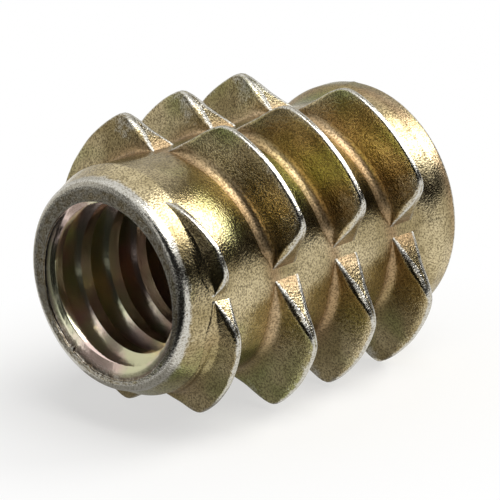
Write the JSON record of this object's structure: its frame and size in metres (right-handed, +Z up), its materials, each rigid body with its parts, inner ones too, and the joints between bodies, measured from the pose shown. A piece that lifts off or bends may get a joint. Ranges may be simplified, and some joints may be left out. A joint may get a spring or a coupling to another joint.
{
  "type": "threaded insert for wood",
  "caption": "Die-cast flangeless threaded insert with a coarse interrupted outer knife thread, a tapped bore and a hex drive socket.",
  "frame": {"origin": "on the surface the insert lies on, under the middle of its length and of its width", "axes": "+Y along the bore axis, from the entry end to the drive end; +Z up, as it lies on two rows of ridge corners"},
  "size_m": [0.01, 0.0126, 0.01],
  "materials": {
    "chromated_zinc": "die-cast zinc alloy, yellow chromate, grainy, silver on worn edges"
  },
  "bodies": {
    "root": {"insert_body": "chromated_zinc"}
  },
  "joints": []
}
